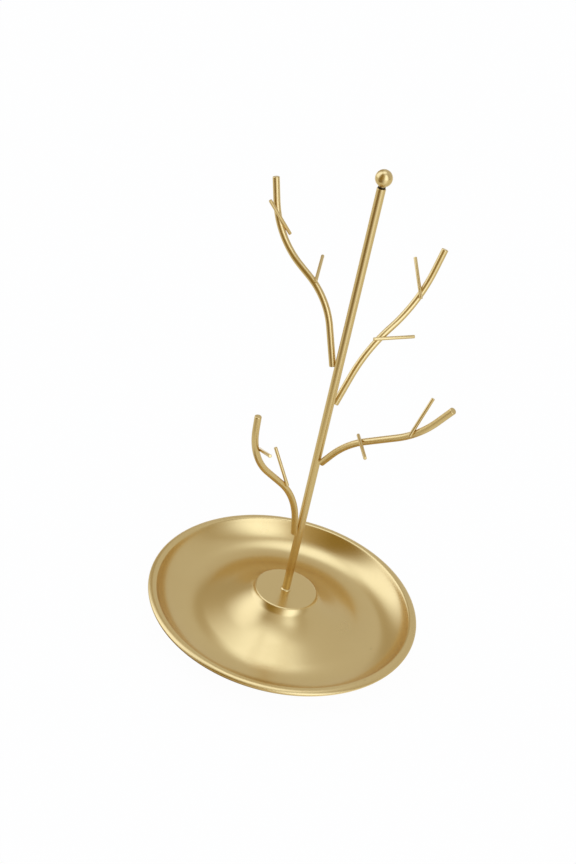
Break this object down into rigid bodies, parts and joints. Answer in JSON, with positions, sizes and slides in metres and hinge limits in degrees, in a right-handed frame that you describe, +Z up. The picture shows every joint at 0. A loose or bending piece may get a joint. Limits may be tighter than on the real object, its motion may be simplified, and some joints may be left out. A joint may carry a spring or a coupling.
{
  "type": "jewelry tree",
  "caption": "Jewelry tree: a round dish with a raised boss carries a straight stem with S-bent branches, short twigs across them, and a ball finial.",
  "frame": {"origin": "on the table, at the centre of the dish's foot ring, under the stem", "axes": "+Z up along the stem; +X to the right and +Y away from the viewer as the picture shows it"},
  "size_m": [0.17, 0.17, 0.3031],
  "materials": {
    "satin_gold": "satin",
    "zinc_steel": "plain zinc"
  },
  "bodies": {
    "base": {"dish": "satin_gold"},
    "tree": {"foot_plate": "satin_gold", "foot_ferrule": "satin_gold", "stem": "satin_gold", "branch_top_left": "satin_gold", "branch_upper_right": "satin_gold", "branch_lower_right": "satin_gold", "branch_lower_left": "satin_gold", "twig_top_left_lower": "satin_gold", "twig_top_left_upper": "satin_gold", "twig_upper_right_lower": "satin_gold", "twig_upper_right_upper": "satin_gold", "twig_lower_right_lower": "satin_gold", "twig_lower_right_upper": "satin_gold", "twig_lower_left_lower": "satin_gold", "twig_lower_left_upper": "satin_gold"},
    "washers": {"base_washer": "zinc_steel", "lock_washer": "zinc_steel"},
    "screw": {"base_screw": "zinc_steel"},
    "stud": {"finial_stud": "zinc_steel"},
    "ball": {"finial_ball": "satin_gold"}
  },
  "joints": [
    {"name": "tree_turn", "type": "hinge", "parent": "base", "child": "tree", "pos_m": [0, 0, 0.0208], "axis": [0, 0, 1], "continuous": true},
    {"name": "screw_drop", "type": "slide", "parent": "tree", "child": "washers", "axis": [0, 0, -1], "range_m": [0, 0.0055]},
    {"name": "screw_turn", "type": "hinge", "parent": "washers", "child": "screw", "pos_m": [0, 0, 0.0184], "axis": [0, 0, -1], "range_deg": [0, 3960]},
    {"name": "finial_rise", "type": "slide", "parent": "tree", "child": "stud", "axis": [0, 0, 1], "range_m": [0, 0.005]},
    {"name": "finial_turn", "type": "hinge", "parent": "stud", "child": "ball", "pos_m": [0, 0, 0.2984], "axis": [0, 0, 1], "range_deg": [0, 3600]}
  ],
  "couplings": [
    {"joint": "screw_turn", "follows": "screw_drop", "rad_per_m": 12566},
    {"joint": "finial_turn", "follows": "finial_rise", "rad_per_m": 12566}
  ]
}
